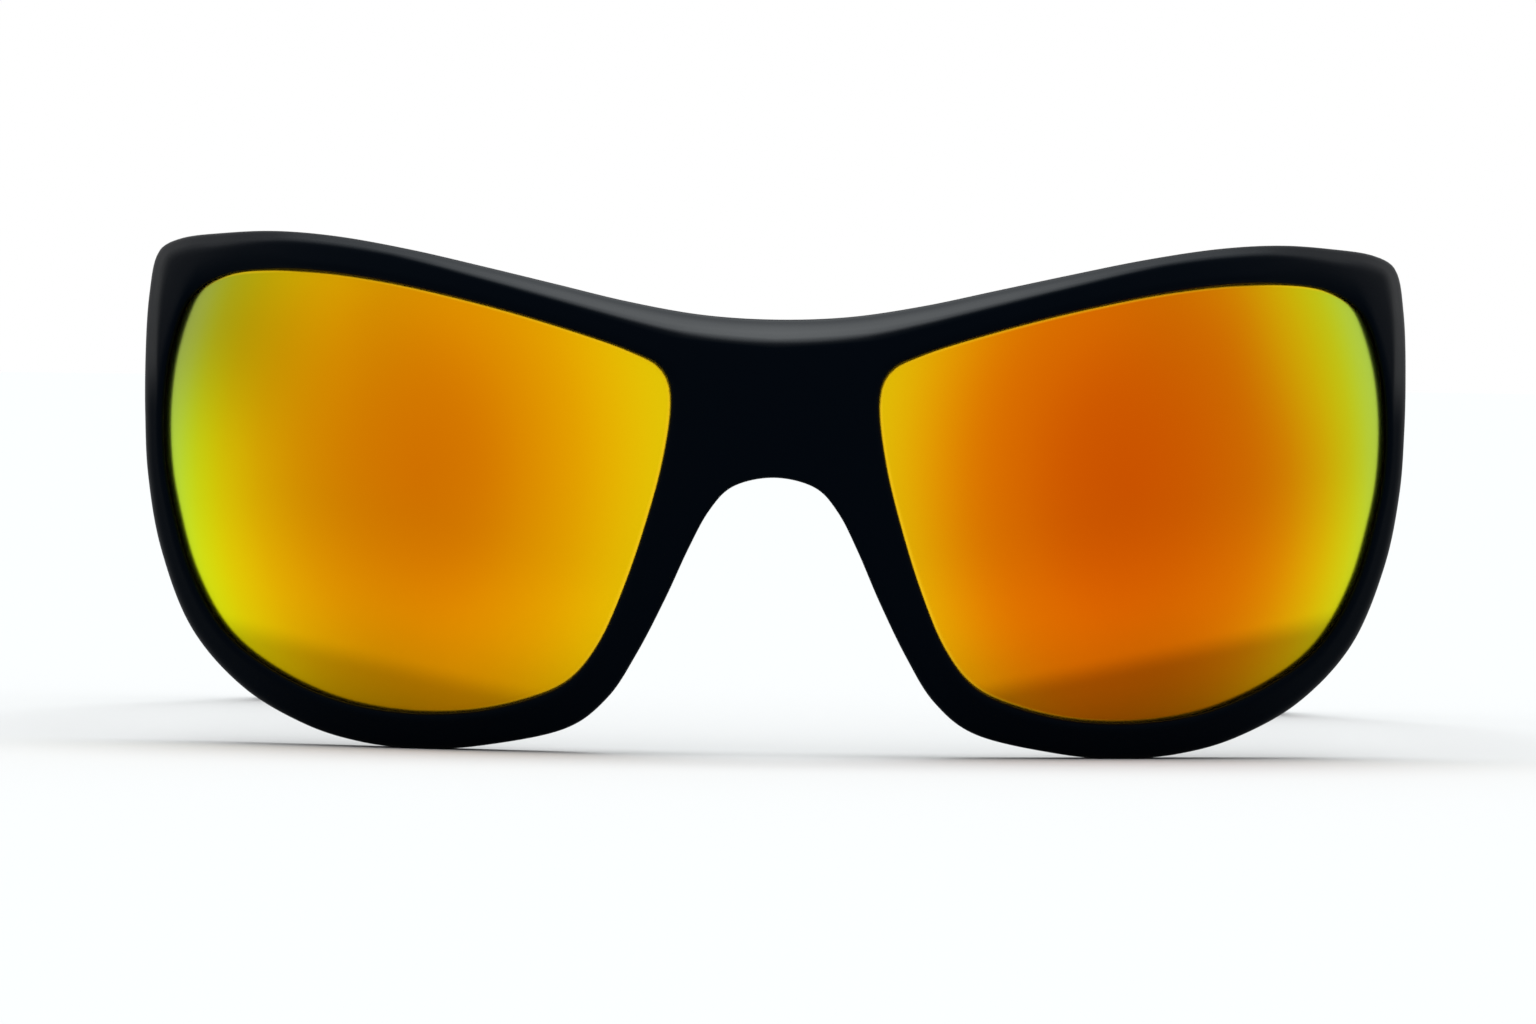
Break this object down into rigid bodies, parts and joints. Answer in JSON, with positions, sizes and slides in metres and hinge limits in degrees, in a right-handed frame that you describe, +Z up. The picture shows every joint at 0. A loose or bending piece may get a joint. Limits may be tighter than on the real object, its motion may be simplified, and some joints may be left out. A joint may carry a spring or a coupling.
{
  "type": "glacier glasses",
  "caption": "Wraparound glacier glasses with mirrored sphere-cut lenses in a black moulded front, folding temples on steel hinges and rubber ear grips with leash eyelets.",
  "frame": {"origin": "centre of the bounding box in plan, on the surface that the open glasses stand on", "axes": "+Z up, -Y the way the front faces, +X the wearer's left; the temples run towards +Y"},
  "size_m": [0.14, 0.1572, 0.0562],
  "materials": {
    "front_nylon": "matte black moulded nylon",
    "lens_mirror": "orange to green mirror coating over an amber lens",
    "pad_rubber": "soft matte",
    "hinge_steel": "satin",
    "screw_steel": "satin",
    "temple_nylon": "matte black moulded nylon",
    "core_steel": "plain strip",
    "grip_rubber": "soft matte"
  },
  "bodies": {
    "front": {"front_frame": "front_nylon", "lens_left": "lens_mirror", "lens_right": "lens_mirror", "nose_pad_left": "pad_rubber", "nose_pad_right": "pad_rubber", "front_leaf_left": "hinge_steel", "front_leaf_right": "hinge_steel", "front_leaf_screws_left": "screw_steel", "front_leaf_screws_right": "screw_steel", "hinge_screw_left": "screw_steel", "hinge_screw_right": "screw_steel"},
    "left_temple": {"temple_left": "temple_nylon", "temple_core_left": "core_steel", "ear_grip_left": "grip_rubber", "temple_leaf_left": "hinge_steel", "temple_leaf_screws_left": "screw_steel"},
    "right_temple": {"temple_right": "temple_nylon", "temple_core_right": "core_steel", "ear_grip_right": "grip_rubber", "temple_leaf_right": "hinge_steel", "temple_leaf_screws_right": "screw_steel"}
  },
  "joints": [
    {"name": "left_fold", "type": "hinge", "parent": "front", "child": "left_temple", "pos_m": [0.0636, -0.03968, 0.0467], "axis": [0, 0, 1], "range_deg": [0, 93]},
    {"name": "right_fold", "type": "hinge", "parent": "front", "child": "right_temple", "pos_m": [-0.0636, -0.03968, 0.0467], "axis": [0, 0, -1], "range_deg": [0, 86]}
  ]
}
